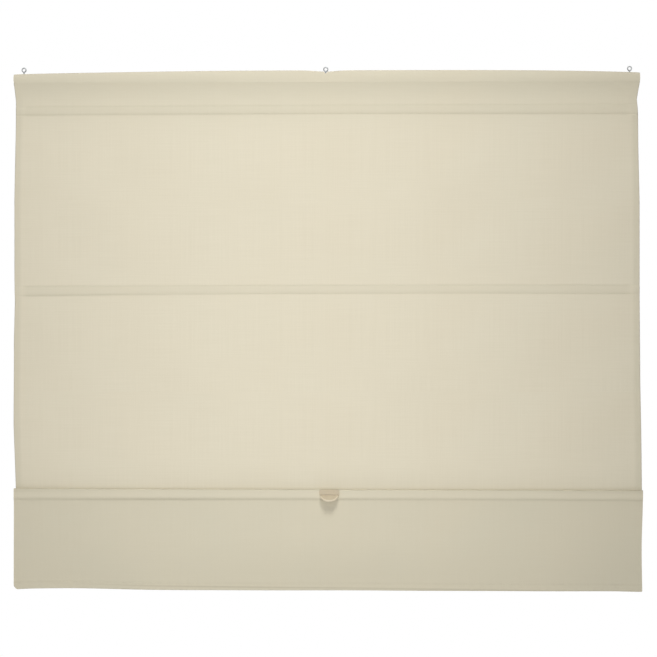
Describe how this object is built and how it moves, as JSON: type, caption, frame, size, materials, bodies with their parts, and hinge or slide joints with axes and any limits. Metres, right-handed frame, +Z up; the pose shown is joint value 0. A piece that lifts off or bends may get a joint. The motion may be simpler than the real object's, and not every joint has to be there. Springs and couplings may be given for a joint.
{
  "type": "roman blind",
  "caption": "Cordless roman blind, let down: a cloth-faced headrail on hanging eyes, slat pockets, a weighted bar with a pull handle and a loose flap below.",
  "frame": {"origin": "centre of the hole of the centre hanging eye", "axes": "+X across the blind to the right as seen from the room, +Y from the room towards the wall, +Z up"},
  "size_m": [1.2028, 0.0524, 1.0019],
  "materials": {
    "cloth": "plain woven beige cloth",
    "rail_paint": "white powder coat",
    "plated_steel": "zinc plated",
    "white_moulding": "moulded, matte",
    "beige_moulding": "moulded, satin",
    "grip_tape": "woven hook and loop"
  },
  "bodies": {
    "headrail_set": {"headrail": "rail_paint", "end_cap_left": "white_moulding", "end_cap_right": "white_moulding", "hanging_eye_left": "plated_steel", "hanging_eye_centre": "plated_steel", "hanging_eye_right": "plated_steel", "eye_nuts": "plated_steel", "hook_tape": "grip_tape", "loop_tape": "grip_tape", "spool_cradle_1": "white_moulding", "spool_cradle_2": "white_moulding", "spool_cradle_3": "white_moulding", "spool_cradle_4": "white_moulding", "motor_housing": "white_moulding", "motor_cover": "white_moulding", "storage_axle": "plated_steel", "mainspring": "plated_steel", "shade_cloth": "cloth", "upper_pocket_tape": "cloth", "upper_slat": "white_moulding", "upper_slat_tips": "white_moulding", "upper_cord_guides": "white_moulding"},
    "shaft_set": {"lift_shaft": "plated_steel", "cord_spool_1": "white_moulding", "cord_spool_2": "white_moulding", "cord_spool_3": "white_moulding", "cord_spool_4": "white_moulding", "output_drum": "white_moulding"},
    "storage_set": {"storage_drum": "white_moulding"},
    "middle_set": {"middle_pocket_tape": "cloth", "middle_slat": "white_moulding", "middle_slat_tips": "white_moulding", "middle_cord_guides": "white_moulding"},
    "bar_set": {"bottom_bar": "rail_paint", "bar_end_cap_left": "white_moulding", "bar_end_cap_right": "white_moulding", "bottom_flap": "cloth", "handle": "beige_moulding", "handle_back_plate": "white_moulding", "handle_screws": "plated_steel", "cord_anchors": "white_moulding"}
  },
  "joints": [
    {"name": "lift", "type": "slide", "parent": "headrail_set", "child": "bar_set", "axis": [0, 0, 1], "range_m": [0, 0.62], "deforming": ["shade_cloth"]},
    {"name": "middle_lift", "type": "slide", "parent": "headrail_set", "child": "middle_set", "axis": [0, 0, 1], "range_m": [0, 0.2903]},
    {"name": "shaft_turn", "type": "hinge", "parent": "headrail_set", "child": "shaft_set", "pos_m": [0, 0.0005, -0.0194], "axis": [1, 0, 0], "range_deg": [0, 5930]},
    {"name": "storage_turn", "type": "hinge", "parent": "headrail_set", "child": "storage_set", "pos_m": [0.32, 0.0123, -0.0194], "axis": [1, 0, 0], "range_deg": [-7530, 0]}
  ],
  "couplings": [
    {"joint": "middle_lift", "follows": "lift", "ratio": 0.46808},
    {"joint": "shaft_turn", "follows": "lift", "rad_per_m": 166.67},
    {"joint": "storage_turn", "follows": "lift", "rad_per_m": -211.7}
  ]
}
